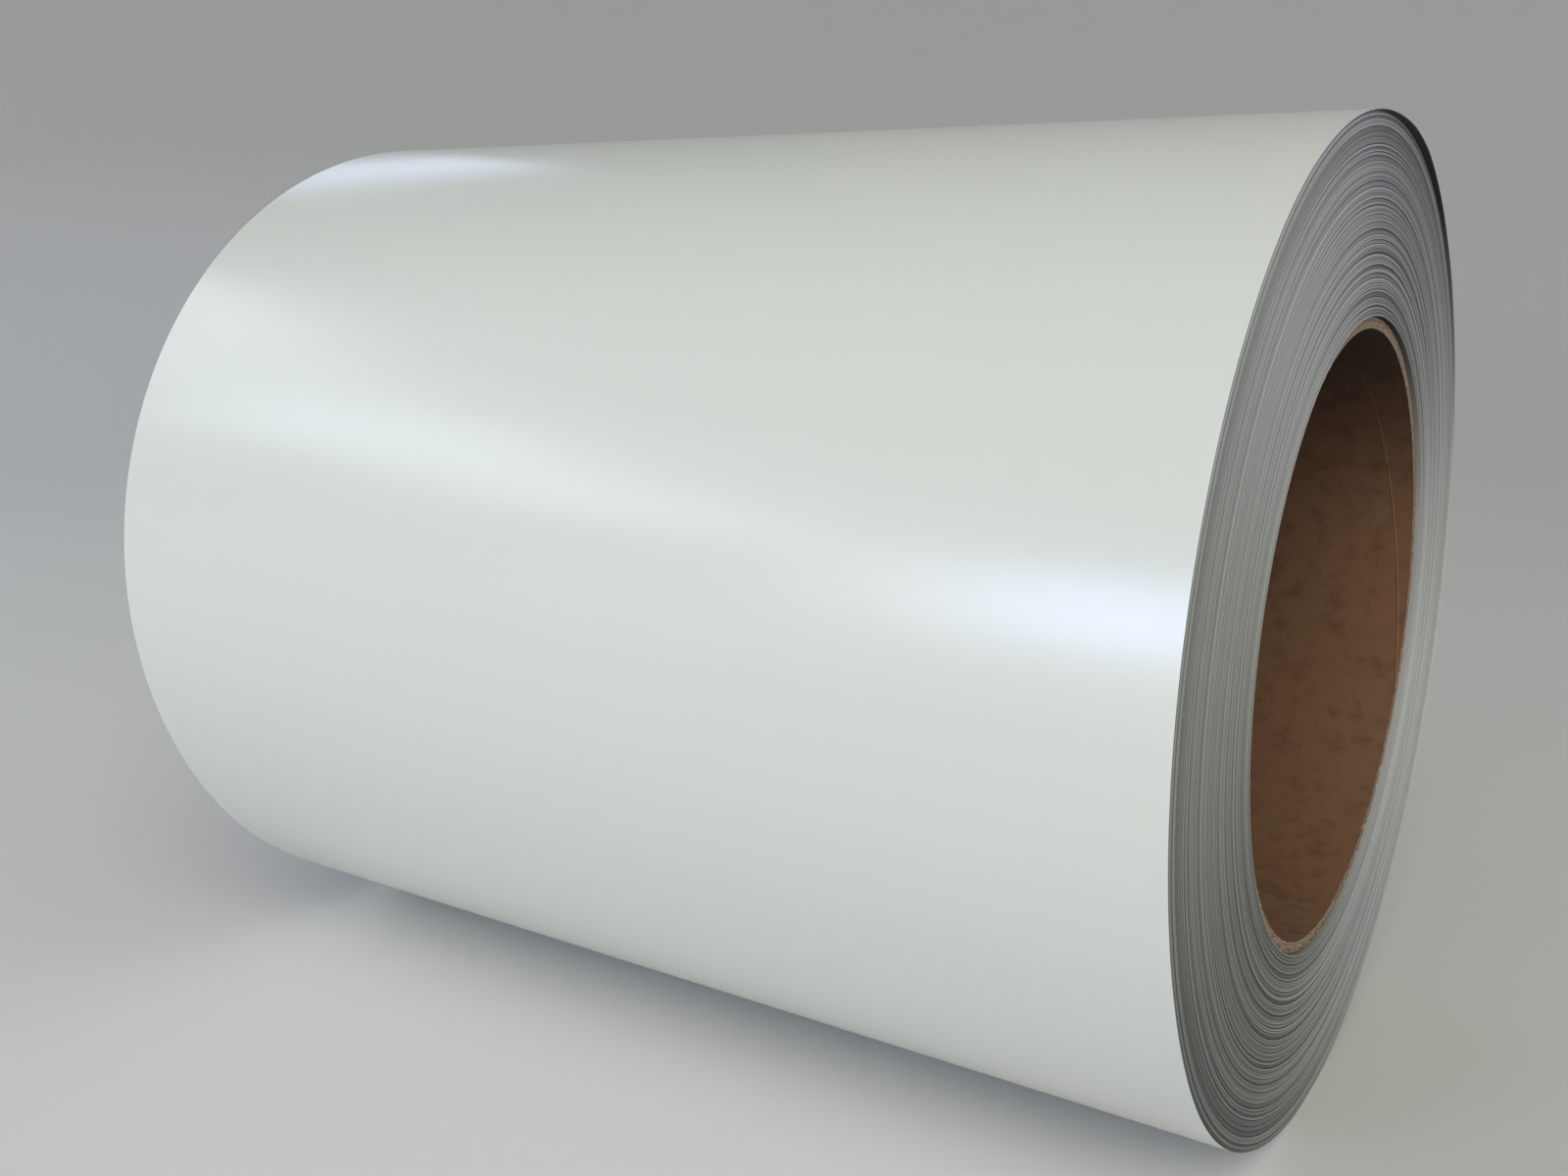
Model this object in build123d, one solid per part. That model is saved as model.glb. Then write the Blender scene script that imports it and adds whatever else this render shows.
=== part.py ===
"""Coil of prepainted steel strip, wound on a paperboard core and lying on its side.

The wound strip is one turned solid with its bore. The turns don't run quite true, so each pack
of turns sits a little to one side of the next, and the two end faces are stepped. The strip has
one width all the way, so a pack that stands out at one end is set in by as much at the other.

Millimetres. The coil's axis lies along X, +Z is up, and the origin is on the floor under the
middle of the coil. The end with the outermost laps standing out is at +X.
"""
from build123d import *
import math
import os

# Strip, and how often it goes round, which give a coil 1012.4 mm across
strip_width = 1250.0
strip_thickness = 0.5
turns = 378

# Paperboard core
core_bore = 610.0
core_wall = 12.0
core_setback = 3.0  # from the face of the innermost pack to the cut end of the core
core_clearance = 0.2  # on the radius, between the core and the first turn

# How unevenly the strip was wound
winding_spread = 5.0  # along the axis, from the pack furthest in to the pack furthest out
rim_step = 0.5  # by which the outermost laps stand out past every other pack
pack_turns = 24  # turns in a middling pack
pack_variation = 0.5  # how much thinner or thicker than middling a pack gets, as a share
proud_laps = 4  # outermost laps, which stand out furthest at the +X end
dish = 0.6  # share of the spread by which the end face falls from the bore to the rim

# A step of 2.4 radians from pack to pack never falls into a rhythm
uneven_step = 2.4

core_inner_radius = core_bore / 2
core_outer_radius = core_inner_radius + core_wall
strip_bore_radius = core_outer_radius + core_clearance
coil_radius = strip_bore_radius + turns * strip_thickness


def pack_radii():
    """Radii where one pack ends and the next begins, from the bore to the rim.

    Every pack is a whole number of turns, and the last one is the outermost laps.
    """
    inner_turns = turns - proud_laps
    packs = round(inner_turns / pack_turns)
    weights = [1 + pack_variation * math.sin(uneven_step * i) for i in range(packs)]
    shares = [sum(weights[:i]) / sum(weights) for i in range(packs + 1)]
    starts = [round(share * inner_turns) for share in shares] + [turns]
    return [strip_bore_radius + strip_thickness * start for start in starts]


def pack_offsets(packs):
    """How far each pack sits towards +X from the middle, from the bore to the rim."""
    inner = packs - 1
    wander = [
        (1 - dish) / 2 * math.sin(uneven_step * (i + 1)) - dish * i / (inner - 1)
        for i in range(inner)
    ]
    low, high = min(wander), max(wander)
    room = winding_spread - rim_step
    settled = [(w - low) / (high - low) * room - winding_spread / 2 for w in wander]
    return settled + [winding_spread / 2]


def end_profile(radii, offsets, face):
    """Stepped outline of one end face, from the bore to the rim, as (x, radius) points."""
    points = []
    for inner, outer, offset in zip(radii, radii[1:], offsets):
        points += [(face + offset, inner), (face + offset, outer)]
    return points


def turned(outline):
    """Solid turned about the coil's axis, with its seam underneath, resting on the floor."""
    section = make_face(Polyline(*[(x, -radius) for x, radius in outline], close=True))
    return Pos(0, 0, coil_radius) * revolve(Plane.XZ * section, axis=Axis.X)


def wound_strip(radii, offsets):
    near_end = end_profile(radii, offsets, strip_width / 2)
    far_end = end_profile(radii, offsets, -strip_width / 2)
    return turned(near_end + far_end[::-1])


def core_tube(innermost_offset):
    near_cut = strip_width / 2 + innermost_offset - core_setback
    far_cut = -strip_width / 2 + innermost_offset + core_setback
    return turned(
        [
            (near_cut, core_inner_radius),
            (near_cut, core_outer_radius),
            (far_cut, core_outer_radius),
            (far_cut, core_inner_radius),
        ]
    )


radii = pack_radii()
offsets = pack_offsets(len(radii) - 1)
parts = {
    "wound_strip": wound_strip(radii, offsets),
    "core_tube": core_tube(offsets[0]),
}

os.makedirs("parts", exist_ok=True)
for name, part in parts.items():
    part.label = name
    export_step(part, f"parts/{name}.step")
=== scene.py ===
"""Looks of a coil of prepainted steel strip, wound on a paperboard core and lying on its side.

The strip is modelled as it really runs: one spiral from the core to the rim, cut into nested
pieces. Metres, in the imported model's frame: the coil's axis lies along X, +Z is up, and the
origin is on the floor under the middle of the coil. Angles round the coil start at the top and
grow towards +Y.
"""
import math

import bmesh
import bpy
import numpy as np
from mathutils import Matrix, Vector, noise


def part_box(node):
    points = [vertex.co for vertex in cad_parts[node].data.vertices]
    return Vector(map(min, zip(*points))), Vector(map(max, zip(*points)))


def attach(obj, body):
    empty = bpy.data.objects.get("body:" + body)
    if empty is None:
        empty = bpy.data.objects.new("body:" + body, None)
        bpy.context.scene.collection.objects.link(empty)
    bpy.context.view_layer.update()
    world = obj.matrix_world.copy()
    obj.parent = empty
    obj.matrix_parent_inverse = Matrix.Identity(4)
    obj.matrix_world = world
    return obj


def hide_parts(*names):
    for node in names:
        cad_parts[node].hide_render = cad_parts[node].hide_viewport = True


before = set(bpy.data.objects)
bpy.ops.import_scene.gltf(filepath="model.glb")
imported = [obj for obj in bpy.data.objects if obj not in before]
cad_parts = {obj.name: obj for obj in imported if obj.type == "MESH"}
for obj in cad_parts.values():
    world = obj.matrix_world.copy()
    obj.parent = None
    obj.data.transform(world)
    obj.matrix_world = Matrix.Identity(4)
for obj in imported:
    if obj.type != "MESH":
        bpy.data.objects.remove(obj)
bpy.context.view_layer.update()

FULL_TURN = 2 * math.pi
MM = 0.001


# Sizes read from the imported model

def corner_points(node_name):
    """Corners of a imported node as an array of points."""
    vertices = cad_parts[node_name].data.vertices
    points = np.zeros(len(vertices) * 3)
    vertices.foreach_get("co", points)
    return points.reshape(-1, 3)


def radius_of(points):
    """Distance of each point from the coil's axis."""
    return np.hypot(points[:, 1], points[:, 2] - axis_height)


strip_points = corner_points("wound_strip")
core_points = corner_points("core_tube")
axis_height = (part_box("core_tube")[0].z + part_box("core_tube")[1].z) / 2
rim_radius = radius_of(strip_points).max()
strip_bore_radius = radius_of(strip_points).min()
core_outer_radius = radius_of(core_points).max()
core_bore_radius = radius_of(core_points).min()
core_near, core_far = core_points[:, 0].max(), core_points[:, 0].min()
rim_plane = strip_points[:, 0].max()

# Strip
strip_thickness = 0.5 * MM
strip_width = 1250 * MM
turns = round((rim_radius - strip_bore_radius) / strip_thickness)
lap_gaps = np.array([0.05, 0.25, 0.05, 0.3, 0.1, 0.3]) * MM  # before each of the outermost laps
loose_laps = len(lap_gaps)
pitch = (rim_radius - strip_bore_radius - lap_gaps.sum()) / (turns + 1)
groove_depth = 14 * MM  # how far one can see down between two loose laps
cuts = [0, 124, 248, turns - loose_laps]  # turns at which the spiral is cut into pieces
tail_angle = math.radians(197)  # where the strip ends, under the coil


# How true the strip was wound

def wander(turn, period, seed):
    """Smooth random value from -1 to 1 that changes over about `period` turns."""
    # Knots lie a period apart, from two before turn 0 to a few past the last turn
    place = turn / period + 2
    knots = np.random.default_rng(seed).uniform(-1, 1, int(turns / period) + 8)
    low = np.floor(place).astype(int)
    share = place - low
    share = share * share * (3 - 2 * share)
    return knots[low] * (1 - share) + knots[low + 1] * share


def pack_place(turn):
    """Random value from -1 to 1 that a pack of turns shares."""
    chance = np.random.default_rng(71)
    # The first packs begin before turn 0, so that every turn is in one
    starts = chance.uniform(*pack_turns, turns).cumsum() - 3 * pack_turns[1]
    places = chance.uniform(-1, 1, turns)
    number = np.searchsorted(starts, turn) - 1
    share = np.clip((turn - starts[number]) / pack_change, 0, 1)
    return places[number - 1] * (1 - share) + places[number] * share


pack_turns = (4, 13)  # fewest and most turns that lie flush with each other
pack_change = 0.2  # turns over which the strip moves from one pack's place to the next one's
pack_reach = 0.38 * MM  # how far to one side a pack goes
# Sideways wander besides: turns over which it changes, how far it goes, and its seed
wanders = ((26, 0.12 * MM, 40), (0.9, 0.22 * MM, 41))
edge_slant, slant_change = -0.05 * MM, 0.08 * MM  # from one corner of the cut edge to the other
# Where the near end lies on the whole: it falls back in a straight line from the bore to the rim
bore_face = rim_plane + 0.6 * MM
rim_face = rim_plane - 2.8 * MM

# How far the last lap stands out past the face beside it, by its angle round the coil
lap_angles = np.radians([0, 12, 20, 28, 40, 55, 70, 90, 120, 165, 190, 330, 350, 360])
lap_stands = np.array([3.8, 6.8, 6.8, 5.3, 3.7, 2.7, 2.1, 1.4, 0.9, 0.5, 0.0, 0.3, 2.0, 3.8]) * MM
# Turns before the strip's end where it begins to stand out, and turns until it is right out
proud_start, proud_rise = 2.2, 1.2

# Slack low on the camera's side, where the last two laps bulge: turn, half width and reach
bulges = (
    (turns - 2 + 0.085, 0.035, 1.0 * MM),
    (turns - 1 + 0.085, 0.040, 2.3 * MM),
)

# Tone of a turn's cut edge, as a share of the way from the darkest to the palest: in the middle,
# and what changes it
middling_tone = 0.41
# Streaks: turns over which they change, their share and their seed
tone_streaks = ((2.5, 0.2, 81), (0.8, 0.26, 82), (16, 0.16, 83))
# Bright and dark lines where two packs meet are painted highlight on the proud pack's edge and
# painted shade beside it
border_width, border_share = 2.1, 0.75  # lines where two packs meet: their turns and their share
# The outermost laps' cut edges have painted shade over the top: how many of them, turns over which
# that sets in, and its share
shaded_laps, shade_rise, shaded_share = 3.5, 0.5, 0.6

# Darkest and palest tone of a turn's cut edge, by the angle round the coil: painted sheen at the
# sides and painted shade near the top and low down
edge_painted_shades = (
    (5, "#1b1c1c", "#c3c5c9"),
    (28, "#1b1b1c", "#c0c1c5"),
    (55, "#54565a", "#e0e2e6"),
    (80, "#b3b6b8", "#f4f6f8"),
    (105, "#d4d6d5", "#fefffe"),
    (120, "#bfc1c0", "#fafbfa"),
    (150, "#7e7f82", "#e9ebef"),
    (175, "#3c3d3c", "#d9dbd8"),
    (195, "#242423", "#c2c4bf"),
    (215, "#101010", "#a8aaa4"),
    (240, "#252524", "#a7a8a3"),
    (265, "#646562", "#b2b3ae"),
    (290, "#848583", "#c6c7c5"),
    (320, "#939497", "#dcdee2"),
    (345, "#6c6c6e", "#dcdee2"),
)
# The same for a turn's two sides. They show as low walls at the ends. Their tones by angle are
# painted shade where a wall faces down, which the pale floor would hide, and painted light where it
# faces the lamps.
inner_painted_shades = (
    (340, "#7c7e7b", "#b4b6b2"),
    (10, "#5c5e5b", "#a4a6a2"),
    (40, "#5a5c59", "#bcbeba"),
    (60, "#96999b", "#d8dcdf"),
    (85, "#d5dade", "#eff3f7"),
    (140, "#c4c9cc", "#eff3f6"),
    (165, "#8c8e8c", "#eceeec"),
    (195, "#6e706d", "#e4e6e2"),
)
outer_painted_shades = (
    (165, "#8a8c88", "#d0d2ce"),
    (196, "#6c6e6a", "#b8bab6"),
    (225, "#50524f", "#848682"),
    (250, "#70726e", "#8c8e8a"),
    (280, "#9a9c98", "#b0b2ae"),
    (305, "#c6c8c4", "#dcdeda"),
    (335, "#c8cac6", "#e8eae6"),
    (355, "#a8aaa7", "#e0e2de"),
)
# The same for the inner sides that show furthest down: the first turn's and the loose laps'. They are
# painted near black in shade over the top, and paler where they face the lamps.
bore_painted_shades = (
    (330, "#5a5b57", "#6a6b67"),
    (350, "#0f100f", "#161715"),
    (20, "#0f100f", "#161715"),
    (36, "#4c4e4b", "#5c5e5b"),
    (52, "#7f8281", "#8f9291"),
    (75, "#a4a7a8", "#b4b7b8"),
    (150, "#a4a7a8", "#b4b7b8"),
    (200, "#7d7f7b", "#8d8f8b"),
)
lap_painted_shades = (
    (330, "#6a6b67", "#6a6b67"),
    (350, "#0f100f", "#161715"),
    (36, "#0f100f", "#161715"),
    (58, "#7d7f7b", "#8d8f8b"),
    (80, "#c8cac6", "#d6d8d4"),
    (150, "#c8cac6", "#d6d8d4"),
    (190, "#8a8c88", "#8a8c88"),
)


def angle_at(turn):
    """Angle round the coil at which this point of the spiral lies."""
    return (tail_angle + FULL_TURN * turn) % FULL_TURN


def near_edge(turn, side):
    """X of the strip's edge at the near end. Side is 0 at its inner and 1 at its outer corner."""
    face = bore_face + (rim_face - bore_face) * turn / turns
    face = face + (side - 0.5) * (edge_slant + slant_change * wander(turn, 1.0, 60))
    face = face + pack_reach * pack_place(turn)
    for period, reach, seed in wanders:
        face = face + reach * wander(turn, period, seed)
    share_out = np.clip((turn - (turns - proud_start)) / proud_rise, 0, 1) ** 2
    return face + share_out * np.interp(angle_at(turn), lap_angles, lap_stands)


def edge_tone(turn):
    """Share from 0 to 1 of the palest tone in a cut edge. Where a pack stands out past the next
    one, its last turns get a painted highlight, and those beside them a painted shade. The
    outermost laps get painted shade where they run over the top."""
    before, after = pack_place(turn - border_width), pack_place(turn + border_width)
    tone = middling_tone + border_share * (2 * pack_place(turn) - before - after)
    for period, share, seed in tone_streaks:
        tone = tone + share * wander(turn, period, seed)
    outermost = np.clip((turn - (turns - shaded_laps)) / shade_rise, 0, 1)
    tone = tone - shaded_share * outermost * np.clip(np.cos(angle_at(turn)), 0, 1)
    return np.clip(tone, 0, 1)


def lap_gap(turn):
    """How far the outermost laps have sprung away from the coil."""
    starts = turns - loose_laps + np.arange(loose_laps + 1)
    gap = np.interp(turn, starts, np.concatenate([[0], lap_gaps.cumsum()]))
    for middle, half_width, reach in bulges:
        gap = gap + reach * np.exp(-(((turn - middle) / half_width) ** 2))
    return gap


def radius_at(turn):
    """Radius of the strip's inner side."""
    return strip_bore_radius + pitch * turn + lap_gap(turn)


# Mesh helpers

def new_piece(name, mesh_or_bm, materials):
    """Object in the scene, from a mesh or from a bmesh, which it uses up."""
    if isinstance(mesh_or_bm, bmesh.types.BMesh):
        mesh = bpy.data.meshes.new(name)
        mesh_or_bm.to_mesh(mesh)
        mesh_or_bm.free()
    else:
        mesh = mesh_or_bm
    piece = bpy.data.objects.new(name, mesh)
    bpy.context.scene.collection.objects.link(piece)
    for material in materials:
        mesh.materials.append(material)
    return piece


def read(collection, name, width=1):
    """One property of every item of a collection, as an array."""
    values = np.zeros(len(collection) * width)
    collection.foreach_get(name, values)
    return values.reshape(-1, width) if width > 1 else values


def spun_ring(points, segments):
    """Bmesh of a closed chain of (x, radius) points turned once about the coil's axis."""
    bm = bmesh.new()
    chain = [bm.verts.new((x, 0, axis_height + radius)) for x, radius in points]
    edges = [bm.edges.new(pair) for pair in zip(chain, chain[1:] + chain[:1])]
    bmesh.ops.spin(
        bm, geom=chain + edges, cent=(0, 0, axis_height), axis=(-1, 0, 0), angle=FULL_TURN,
        steps=segments, use_merge=True, use_duplicate=False,
    )
    bmesh.ops.remove_doubles(bm, verts=bm.verts, dist=1e-7)
    bmesh.ops.recalc_face_normals(bm, faces=bm.faces)
    return bm


# Places of the strip's finishes in the list that each of its pieces gets: its painted side on the
# outermost lap, its back, its cut edges, its painted side under the next turn, and its back on the
# first turn and on the loose laps, which is painted near black in shade over the top
outermost_paint, back, cut_edge, covered_paint, first_back, loose_back = range(6)
sliver = 0.003  # turns by which a face's turn may lie past a cut, from rounding


def place_finishes(mesh):
    """Gives each face of a wound piece its finish, by which way it faces and by its turn."""
    centres = read(mesh.polygons, "center", 3)
    normals = read(mesh.polygons, "normal", 3)
    outward = normals[:, 1] * centres[:, 1] + normals[:, 2] * (centres[:, 2] - axis_height)
    outward /= radius_of(centres)
    first_loop = read(mesh.polygons, "loop_start").astype(int)
    first_vertex = read(mesh.loops, "vertex_index").astype(int)[first_loop]
    face_turn = read(mesh.attributes["turn"].data, "value")[first_vertex]
    facing_in = np.where(face_turn > cuts[-1] - sliver, loose_back, back)
    facing_in = np.where(face_turn < 1 + sliver, first_back, facing_in)
    facing_out = np.where(face_turn > turns - 1 - sliver, outermost_paint, covered_paint)
    index = np.where(outward < -0.5, facing_in, cut_edge)
    index = np.where(outward > 0.5, facing_out, index)
    mesh.polygons.foreach_set("material_index", index.astype(np.int32))


def wound_piece(name, first, last, segments, materials, depth=0.0):
    """Closed spiral piece of the strip from turn `first` to turn `last`, both ends shaped.

    Each turn has an inner and an outer corner at each end, and with a depth also a second pair
    that deep between the turns. The chain of corners runs up the near end, down the far end and
    back to its start. A grid has it as one side and the way round the coil as the other, and is
    curled into place.
    """
    corners = [(0, 0)] if not depth else [(0, depth), (0, 0)]
    corners += [(1, down) for _, down in reversed(corners)]
    near = [(lap, side, down, 1) for lap in range(first, last) for side, down in corners]
    far = [(lap, side, down, 0) for lap, side, down, _ in reversed(near)]
    chain = np.array(near + far + near[:1], float)
    bm = bmesh.new()
    bmesh.ops.create_grid(bm, x_segments=len(chain) - 1, y_segments=segments, size=1)
    mesh = bpy.data.meshes.new(name)
    bm.to_mesh(mesh)
    bm.free()

    flat = read(mesh.vertices, "co", 3)
    corner = chain[np.rint((flat[:, 0] + 1) / 2 * (len(chain) - 1)).astype(int)]
    round_share = (flat[:, 1] + 1) / 2
    lap, side, down, at_near_end = corner.T
    turn = lap + round_share
    angle = tail_angle + FULL_TURN * turn
    radius = radius_at(turn) + pitch * side
    x = near_edge(turn, side) - down
    x = np.where(at_near_end > 0.5, x, near_edge(turn, side) - strip_width + down)
    curled = np.stack([x, radius * np.sin(angle), axis_height + radius * np.cos(angle)], -1)
    mesh.vertices.foreach_set("co", curled.ravel())
    for attribute, values in (("turn", turn), ("tone", edge_tone(turn))):
        mesh.attributes.new(attribute, "FLOAT", "POINT").data.foreach_set("value", values)

    bm = bmesh.new()
    bm.from_mesh(mesh)
    bmesh.ops.remove_doubles(bm, verts=bm.verts, dist=1e-7)
    open_edges = [edge for edge in bm.edges if edge.is_boundary]
    bmesh.ops.holes_fill(bm, edges=open_edges, sides=0)
    bmesh.ops.recalc_face_normals(bm, faces=bm.faces)
    bm.to_mesh(mesh)
    bm.free()
    piece = new_piece(name, mesh, materials)
    place_finishes(mesh)
    mesh.polygons.foreach_set("use_smooth", np.ones(len(mesh.polygons), bool))
    mesh.set_sharp_from_angle(angle=math.radians(35))
    return piece


# Colours and nodes

def linear(hex_colour):
    """Linear RGBA of an sRGB hex colour."""
    channels = [int(hex_colour[i:i + 2], 16) / 255 for i in (1, 3, 5)]
    return [c / 12.92 if c <= 0.04045 else ((c + 0.055) / 1.055) ** 2.4 for c in channels] + [1]


def add_node(tree, kind, sockets=(), **settings):
    """Adds a node. Sockets maps an input's name or number to a value or to another output."""
    made = tree.nodes.new(kind)
    for name, value in settings.items():
        setattr(made, name, value)
    for socket, value in dict(sockets).items():
        if isinstance(value, bpy.types.NodeSocket):
            tree.links.new(value, made.inputs[socket])
        else:
            made.inputs[socket].default_value = value
    return made


def new_material(name, sockets):
    """Material with one Principled shader, and its tree."""
    material = bpy.data.materials.new(name)
    material.use_nodes = True
    tree = material.node_tree
    tree.nodes.clear()
    shader = add_node(tree, "ShaderNodeBsdfPrincipled", sockets)
    output = add_node(tree, "ShaderNodeOutputMaterial")
    tree.links.new(shader.outputs["BSDF"], output.inputs["Surface"])
    return material, tree, shader


def coil_paint():
    """Off-white polyester coil coating, roller-coated and baked: even, with a soft satin gloss."""
    material, tree, shader = new_material(
        "polyester_coil_paint", {"Roughness": 0.24, "IOR": 1.5}
    )
    place = add_node(tree, "ShaderNodeTexCoord").outputs["Object"]
    clouds = add_node(
        tree, "ShaderNodeTexNoise", {"Vector": place, "Scale": 1 / (350 * MM), "Detail": 2}
    )
    tone = add_node(
        tree, "ShaderNodeMix",
        {"Factor": clouds.outputs["Fac"], "A": linear("#d2d6ce"), "B": linear("#d5d7ce")},
        data_type="RGBA",
    )
    tree.links.new(tone.outputs["Result"], shader.inputs["Base Color"])
    # Faint orange peel, drawn a little coarser than it is so that it shows
    peel = add_node(
        tree, "ShaderNodeTexNoise", {"Vector": place, "Scale": 1 / (4 * MM), "Detail": 1}
    )
    bump = add_node(
        tree, "ShaderNodeBump",
        {"Height": peel.outputs["Fac"], "Strength": 0.1, "Distance": 0.01 * MM},
    )
    tree.links.new(bump.outputs["Normal"], shader.inputs["Normal"])
    return material


ramp_stops = 25  # stops of a colour ramp that runs once round the coil


def strip_side(name, roughness, painted_shades, metallic=0.0):
    """Finish of one side or edge of the turns, whose tone differs from turn to turn and by the
    angle round the coil, where the angle gives a painted shade and sheen."""
    material, tree, shader = new_material(name, {"Metallic": metallic, "Roughness": roughness})
    turn = add_node(tree, "ShaderNodeAttribute", attribute_name="turn").outputs["Fac"]
    lap_share = add_node(tree, "ShaderNodeMath", {0: turn}, operation="FRACT").outputs[0]
    angles = [shade[0] for shade in painted_shades]
    ends = []
    for number in (1, 2):
        ramp = add_node(tree, "ShaderNodeValToRGB", {"Fac": lap_share})
        stops = ramp.color_ramp.elements
        channels = np.array([linear(shade[number]) for shade in painted_shades]).T
        for place in np.linspace(0, 1, ramp_stops):
            stop = stops[0] if place == 0 else stops[-1] if place == 1 else stops.new(place)
            angle = math.degrees(angle_at(place))
            stop.color = [np.interp(angle, angles, channel, period=360) for channel in channels]
        ends.append(ramp.outputs["Color"])
    tone = add_node(tree, "ShaderNodeAttribute", attribute_name="tone").outputs["Fac"]
    mixed = add_node(
        tree, "ShaderNodeMix", {"Factor": tone, "A": ends[0], "B": ends[1]}, data_type="RGBA"
    )
    tree.links.new(mixed.outputs["Result"], shader.inputs["Base Color"])
    return material


def kraft_board():
    """Kraft paperboard of a spiral-wound tube: matt brown, cloudy, with darker damp spots and the
    ridge of one ply seam that winds along the bore."""
    material, tree, shader = new_material("kraft_board", {"Roughness": 0.8, "IOR": 1.4})
    place = add_node(tree, "ShaderNodeTexCoord").outputs["Object"]
    clouds = add_node(
        tree, "ShaderNodeTexNoise", {"Vector": place, "Scale": 1 / (90 * MM), "Detail": 2}
    )
    cloud_share = add_node(
        tree, "ShaderNodeMapRange",
        {"Value": clouds.outputs["Fac"], "From Min": 0.35, "From Max": 0.65},
    )
    tone = add_node(
        tree, "ShaderNodeMix",
        {"Factor": cloud_share.outputs["Result"], "A": linear("#7e5f45"), "B": linear("#815c45")},
        data_type="RGBA",
    )
    spots = add_node(
        tree, "ShaderNodeTexNoise",
        {"Vector": place, "Scale": 1 / (22 * MM), "Detail": 5, "Roughness": 0.62},
    )
    spot_share = add_node(
        tree, "ShaderNodeMapRange",
        {"Value": spots.outputs["Fac"], "From Min": 0.48, "From Max": 0.8, "To Max": 0.7},
    )
    spotted = add_node(
        tree, "ShaderNodeMix",
        {"Factor": spot_share.outputs["Result"], "A": tone.outputs["Result"],
         "B": linear("#513828")},
        data_type="RGBA",
    )

    # The seam is a helix: its place along the tube moves by the lead in each turn
    centred = add_node(
        tree, "ShaderNodeMapping", {"Vector": place, "Location": (-seam_place, 0, -axis_height)}
    )
    axes = add_node(tree, "ShaderNodeSeparateXYZ", {"Vector": centred.outputs["Vector"]})
    angle = add_node(
        tree, "ShaderNodeMath", {0: axes.outputs["Y"], 1: axes.outputs["Z"]}, operation="ARCTAN2"
    )
    advance = add_node(
        tree, "ShaderNodeMath",
        {0: angle.outputs[0], 1: -seam_lead / FULL_TURN, 2: axes.outputs["X"]},
        operation="MULTIPLY_ADD",
    )
    from_seam = add_node(
        tree, "ShaderNodeMath", {0: advance.outputs[0], 1: seam_lead / 2, 2: -seam_lead / 2},
        operation="WRAP",
    )
    across = add_node(
        tree, "ShaderNodeMapRange",
        {"Value": from_seam.outputs[0], "From Min": -seam_width, "From Max": seam_width},
    )
    ridge = add_node(tree, "ShaderNodeValToRGB", {"Fac": across.outputs["Result"]})
    stops = ridge.color_ramp.elements
    stops[0].position, stops[0].color = 0.05, (0.5, 0.5, 0.5, 1)
    stops[1].position, stops[1].color = 0.95, (0.5, 0.5, 0.5, 1)
    for position, height in ((0.3, 0.25), (0.5, 1.0), (0.7, 0.6)):
        stops.new(position).color = (height, height, height, 1)
    seamed = add_node(
        tree, "ShaderNodeMix",
        {"Factor": 1.0, "A": spotted.outputs["Result"], "B": ridge.outputs["Color"]},
        data_type="RGBA", blend_type="OVERLAY",
    )
    # Painted shade: darker towards the top of the bore, which the pale floor would brighten
    top_shade = add_node(
        tree, "ShaderNodeMapRange",
        {"Value": axes.outputs["Z"], "From Min": 0.1 * core_bore_radius,
         "From Max": 1.1 * core_bore_radius, "To Min": 1.0, "To Max": 0.08},
        interpolation_type="SMOOTHSTEP",
    )
    shaded = add_node(
        tree, "ShaderNodeMix",
        {"Factor": 1.0, "A": seamed.outputs["Result"], "B": top_shade.outputs["Result"]},
        data_type="RGBA", blend_type="MULTIPLY",
    )
    tree.links.new(shaded.outputs["Result"], shader.inputs["Base Color"])

    # Paper fibre, drawn coarser than it is so that it shows
    grain = add_node(
        tree, "ShaderNodeTexNoise", {"Vector": place, "Scale": 1 / (1.5 * MM), "Detail": 2}
    )
    paper = add_node(
        tree, "ShaderNodeBump",
        {"Height": grain.outputs["Fac"], "Strength": 0.4, "Distance": 0.1 * MM},
    )
    raised = add_node(
        tree, "ShaderNodeBump",
        {"Height": ridge.outputs["Color"], "Distance": 0.8 * MM, "Normal": paper.outputs["Normal"]},
    )
    tree.links.new(raised.outputs["Normal"], shader.inputs["Normal"])
    return material


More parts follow.
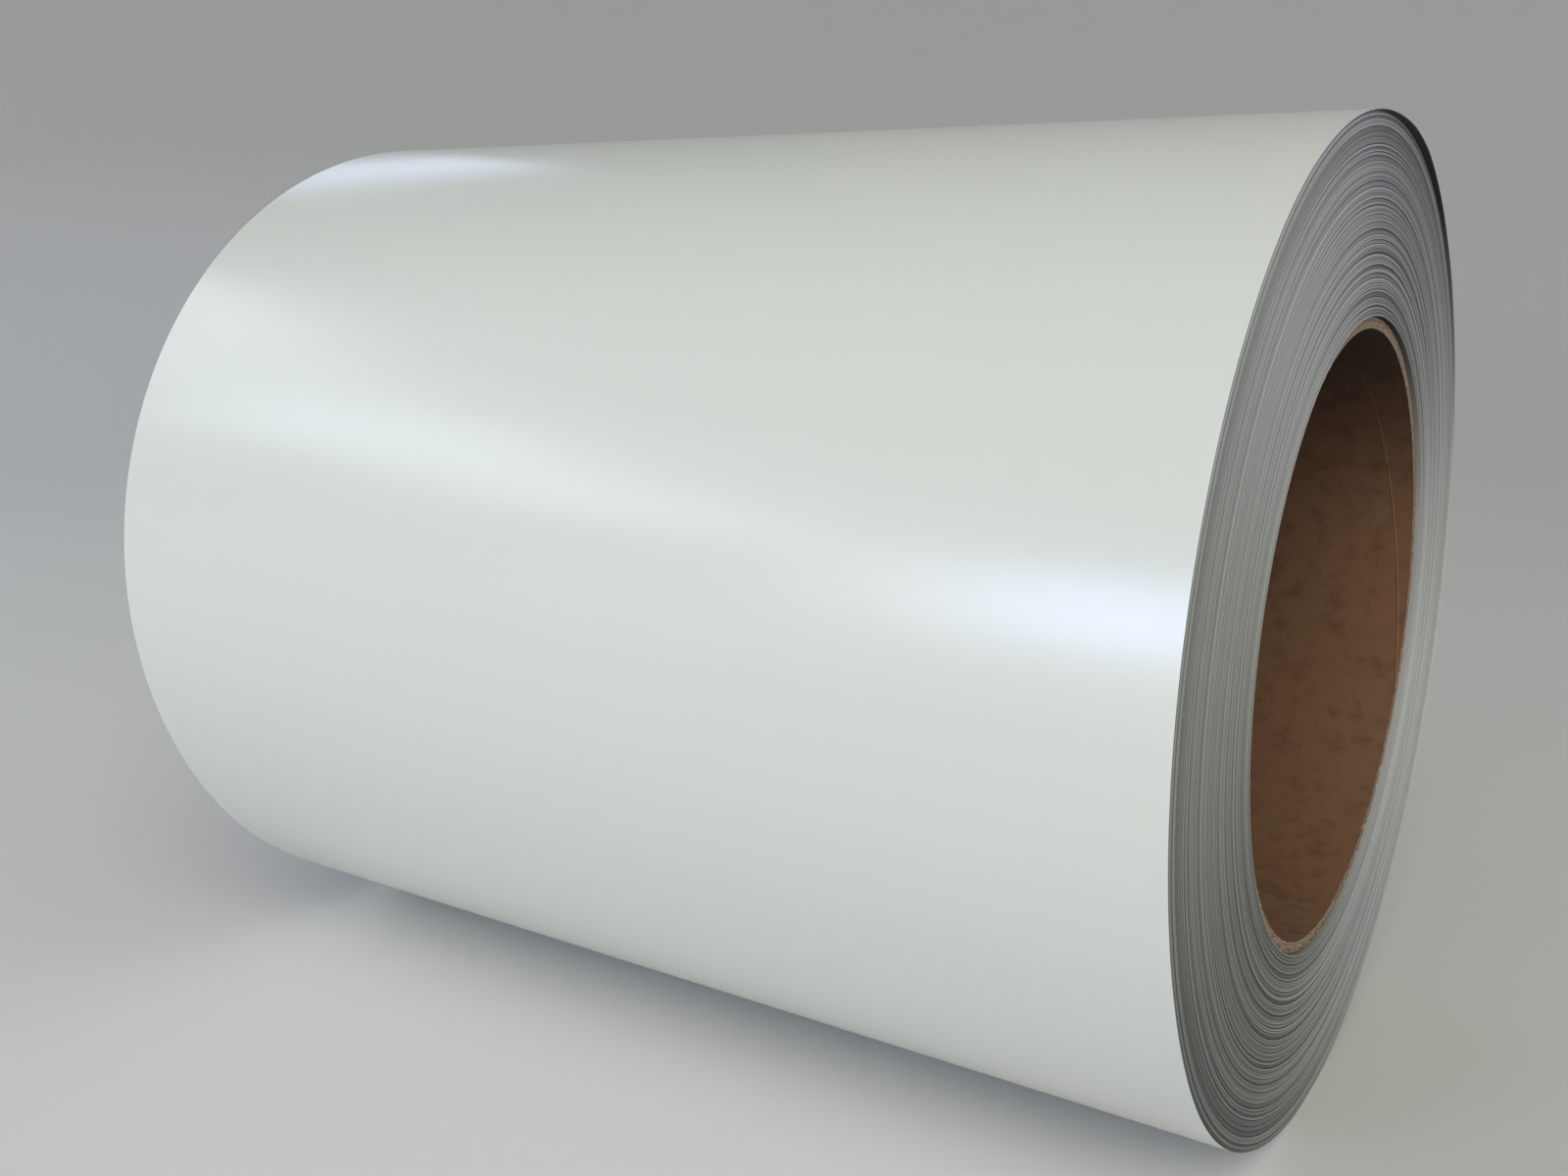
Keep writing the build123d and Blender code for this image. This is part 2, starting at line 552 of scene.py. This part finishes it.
def cut_board():
    """Saw-cut end of the tube: paler and greyer than its skin, fluffy, with its plies as rings."""
    material, tree, shader = new_material("cut_kraft_board", {"Roughness": 0.95, "IOR": 1.4})
    place = add_node(tree, "ShaderNodeTexCoord").outputs["Object"]
    flat = add_node(
        tree, "ShaderNodeMapping",
        {"Vector": place, "Location": (0, 0, -axis_height), "Scale": (0, 1, 1)},
    )
    radius = add_node(
        tree, "ShaderNodeVectorMath", {0: flat.outputs["Vector"]}, operation="LENGTH"
    )
    plies = add_node(
        tree, "ShaderNodeTexNoise",
        {"W": radius.outputs["Value"], "Scale": 1 / (0.8 * MM), "Detail": 1},
        noise_dimensions="1D",
    )
    fluff = add_node(
        tree, "ShaderNodeTexNoise", {"Vector": place, "Scale": 1 / (3 * MM), "Detail": 4}
    )
    mixed = add_node(
        tree, "ShaderNodeMath", {0: plies.outputs["Fac"], 1: fluff.outputs["Fac"]}, operation="ADD"
    )
    share = add_node(
        tree, "ShaderNodeMapRange", {"Value": mixed.outputs[0], "From Min": 0.82, "From Max": 1.18}
    )
    tone = add_node(
        tree, "ShaderNodeMix",
        {"Factor": share.outputs["Result"], "A": linear("#5e4c3d"), "B": linear("#bba48d")},
        data_type="RGBA",
    )
    tree.links.new(tone.outputs["Result"], shader.inputs["Base Color"])
    bump = add_node(
        tree, "ShaderNodeBump",
        {"Height": mixed.outputs[0], "Strength": 0.6, "Distance": 0.4 * MM},
    )
    tree.links.new(bump.outputs["Normal"], shader.inputs["Normal"])
    return material


def plain_floor():
    """Plain pale floor, matt, so that nothing is mirrored in it."""
    sockets = {"Base Color": linear("#e2e2e0"), "Roughness": 0.9}
    return new_material("pale_matt_floor", sockets)[0]


# Core

# Ply seam in the bore: its place along the axis at the top of the tube, how far it moves on in
# each turn, and half its width
seam_place = rim_plane - 67.4 * MM
seam_lead = 200 * MM
seam_width = 2.2 * MM

# Cut ends: radius to which their inner and outer corner are worn, how far back they are frayed,
# and the size of the fibres and of the chips
inner_wear, outer_wear = 0.8 * MM, 1.5 * MM
frayed_depth = 1.6 * MM
fibre_size, chip_size = 1.6 * MM, 7 * MM


def worn_cut():
    """Half outline of a cut end, as (depth below the cut, radius) from the bore to the outside."""
    leans = np.linspace(0, math.pi / 2, 4)
    inner = [
        (inner_wear * (1 - math.sin(lean)), core_bore_radius + inner_wear * (1 - math.cos(lean)))
        for lean in leans
    ]
    outer = [
        (outer_wear * (1 - math.sin(lean)), core_outer_radius - outer_wear * (1 - math.cos(lean)))
        for lean in reversed(leans)
    ]
    between = np.linspace(inner[-1][1], outer[0][1], 7)[1:-1]
    return inner + [(0.0, radius) for radius in between] + outer


def paper_tube(board, cut_end):
    """Tube with its cut ends frayed by the saw, most of all low down, where it carries the weight."""
    outline = worn_cut()
    chain = [(core_near - depth, radius) for depth, radius in outline]
    chain += [(core_far + depth, radius) for depth, radius in reversed(outline)]
    piece = new_piece("paper_tube", spun_ring(chain, segments=540), [board, cut_end])
    for vertex in piece.data.vertices:
        x, y, z = vertex.co
        facing = 1 if x > 0 else -1
        if min(core_near - x, x - core_far) > frayed_depth:
            continue
        lowness = 0.5 - (z - axis_height) / (2 * core_outer_radius)
        outer_share = math.hypot(y, z - axis_height) - core_bore_radius
        outer_share /= core_outer_radius - core_bore_radius
        # Both in millimetres
        fluff = 0.4 + 0.4 * noise.noise(vertex.co / fibre_size)
        chips = max(0.0, noise.noise(vertex.co / chip_size) - 0.1) * (0.5 + 10 * lowness ** 2)
        vertex.co.x -= facing * (fluff + chips * (0.3 + outer_share)) * MM
    for face in piece.data.polygons:
        face.use_smooth = True
        face.material_index = int(abs(face.normal.x) > 0.5)
    return piece


# Stage

light_distance = 9.0  # from the panels of light to the point that they all face
lit_point = (-0.3, -0.2, 0.8)


def bowl_floor(material):
    """Plain floor that rises at its edge in one wide curve, so that no horizon line shows."""
    flat, bend = 5.0, 9.0  # radius of the flat part, and of the curve
    bm = bmesh.new()
    chain = [bm.verts.new((0, 0, 0))]
    for lean in np.linspace(0, math.pi / 2, 25):
        chain.append(bm.verts.new((flat + bend * math.sin(lean), 0, bend * (1 - math.cos(lean)))))
    edges = [bm.edges.new(pair) for pair in zip(chain, chain[1:])]
    bmesh.ops.spin(
        bm, geom=chain + edges, cent=(0, 0, 0), axis=(0, 0, 1), angle=FULL_TURN, steps=96,
        use_merge=True, use_duplicate=False,
    )
    bmesh.ops.remove_doubles(bm, verts=bm.verts, dist=1e-6)
    bmesh.ops.recalc_face_normals(bm, faces=bm.faces)
    floor = new_piece("floor", bm, [material])
    floor.data.polygons.foreach_set("use_smooth", [True] * len(floor.data.polygons))


def softbox(name, azimuth, elevation, spread, radiance):
    """Panel that shines at the coil from that direction. Spread is its width and height as seen
    from the coil, all in degrees."""
    a, e = math.radians(azimuth), math.radians(elevation)
    towards = Vector((math.cos(a) * math.cos(e), math.sin(a) * math.cos(e), math.sin(e)))
    data = bpy.data.lights.new(name, "AREA")
    data.shape = "RECTANGLE"
    data.size, data.size_y = (
        2 * light_distance * math.tan(math.radians(angle / 2)) for angle in spread
    )
    strength = max(radiance)
    data.color = [value / strength for value in radiance]
    data.energy = strength * math.pi * data.size * data.size_y
    light = bpy.data.objects.new(name, data)
    light.location = Vector(lit_point) + light_distance * towards
    light.rotation_mode = "QUATERNION"
    light.rotation_quaternion = towards.to_track_quat("Z", "Y")
    light.visible_camera = False
    bpy.context.scene.collection.objects.link(light)


# Name, azimuth from +X towards +Y, elevation, spread and radiance of each panel
panels = (
    ("key_softbox", -52, 41, (38, 28), (3.4, 3.3, 2.8)),
    ("low_softbox", -95, 10, (41, 15), (4.1, 3.5, 3.25)),
    ("front_softbox", 0, 6, (30, 20), (1.1, 1.15, 1.3)),
    # A row of narrow cool panels that the paint shows as one streak along the coil
    ("near_streak", -104, 11, (12, 14), (2.6, 5.4, 11.0)),
    ("row_2", -128, 18, (14, 8), (3.4, 3.6, 3.7)),
    ("row_3", -141, 23, (14, 9), (3.3, 4.2, 4.95)),
    ("row_4", -154, 29, (14, 9), (1.8, 2.05, 2.5)),
    ("row_5", -167, 34, (16, 6), (2.5, 2.7, 3.05)),
    ("far_streak", 147, 26, (16, 10), (1.2, 1.4, 1.9)),
    ("side_softbox", 60, 10, (36, 20), (0.12, 0.13, 0.16)),
)


def light_stage():
    world = bpy.data.worlds.new("pale_room")
    world.use_nodes = True
    background = world.node_tree.nodes["Background"]
    background.inputs["Color"].default_value = (0.97, 1.0, 1.0, 1)
    background.inputs["Strength"].default_value = 0.255
    bpy.context.scene.world = world
    for panel in panels:
        softbox(*panel)


# Camera, as fitted to the outlines of the coil

camera_place = Vector((0.97721, -1.56212, 0.90984))
camera_yaw, camera_pitch, camera_roll = -0.57863, 0.22857, 0.00586
camera_lens, sensor_width = 35.694, 36.0


def make_camera():
    data = bpy.data.cameras.new("camera")
    data.lens, data.sensor_width = camera_lens, sensor_width
    camera = bpy.data.objects.new("camera", data)
    forward = Vector((
        math.sin(camera_yaw) * math.cos(camera_pitch),
        math.cos(camera_yaw) * math.cos(camera_pitch),
        -math.sin(camera_pitch),
    ))
    level = Vector((math.cos(camera_yaw), -math.sin(camera_yaw), 0))
    down = forward.cross(level)
    right = math.cos(camera_roll) * level + math.sin(camera_roll) * down
    up = math.sin(camera_roll) * level - math.cos(camera_roll) * down
    turned = Matrix((right, up, -forward)).transposed().to_4x4()
    camera.matrix_world = Matrix.Translation(camera_place) @ turned
    bpy.context.scene.collection.objects.link(camera)
    bpy.context.scene.camera = camera


# The coil on its stage

make_camera()
# The strip's finishes, in the order of their places. Its back has a thin coat of epoxy, dull and
# greyish. Its cut edge is as the slitter left it: bright shear and dull break, with zinc. The
# paint between the turns is rubbed duller than the outermost lap's. All but the outermost paint
# have painted shade and painted light by the angle round the coil.
strip_finish = [
    coil_paint(),
    strip_side("epoxy_back_coat", 0.45, inner_painted_shades),
    strip_side("sheared_galvanised_edge", 0.5, edge_painted_shades, metallic=0.5),
    strip_side("covered_polyester_paint", 0.35, outer_painted_shades),
    strip_side("bore_back_coat_painted_shade", 0.45, bore_painted_shades),
    strip_side("loose_back_coat_painted_shade", 0.45, lap_painted_shades),
]
pieces = [
    wound_piece(name, first, last, segments=180, materials=strip_finish)
    for name, first, last in zip(("inner_turns", "middle_turns", "outer_turns"), cuts, cuts[1:])
]
outer_laps = wound_piece(
    "outer_laps", cuts[-1], turns, segments=360, materials=strip_finish, depth=groove_depth
)
pieces.append(outer_laps)
for piece in pieces:
    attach(piece, "root")
    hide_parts("wound_strip")

tube = paper_tube(kraft_board(), cut_board())
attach(tube, "root")
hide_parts("core_tube")

bowl_floor(plain_floor())
light_stage()
bpy.context.scene.view_settings.view_transform = "Standard"
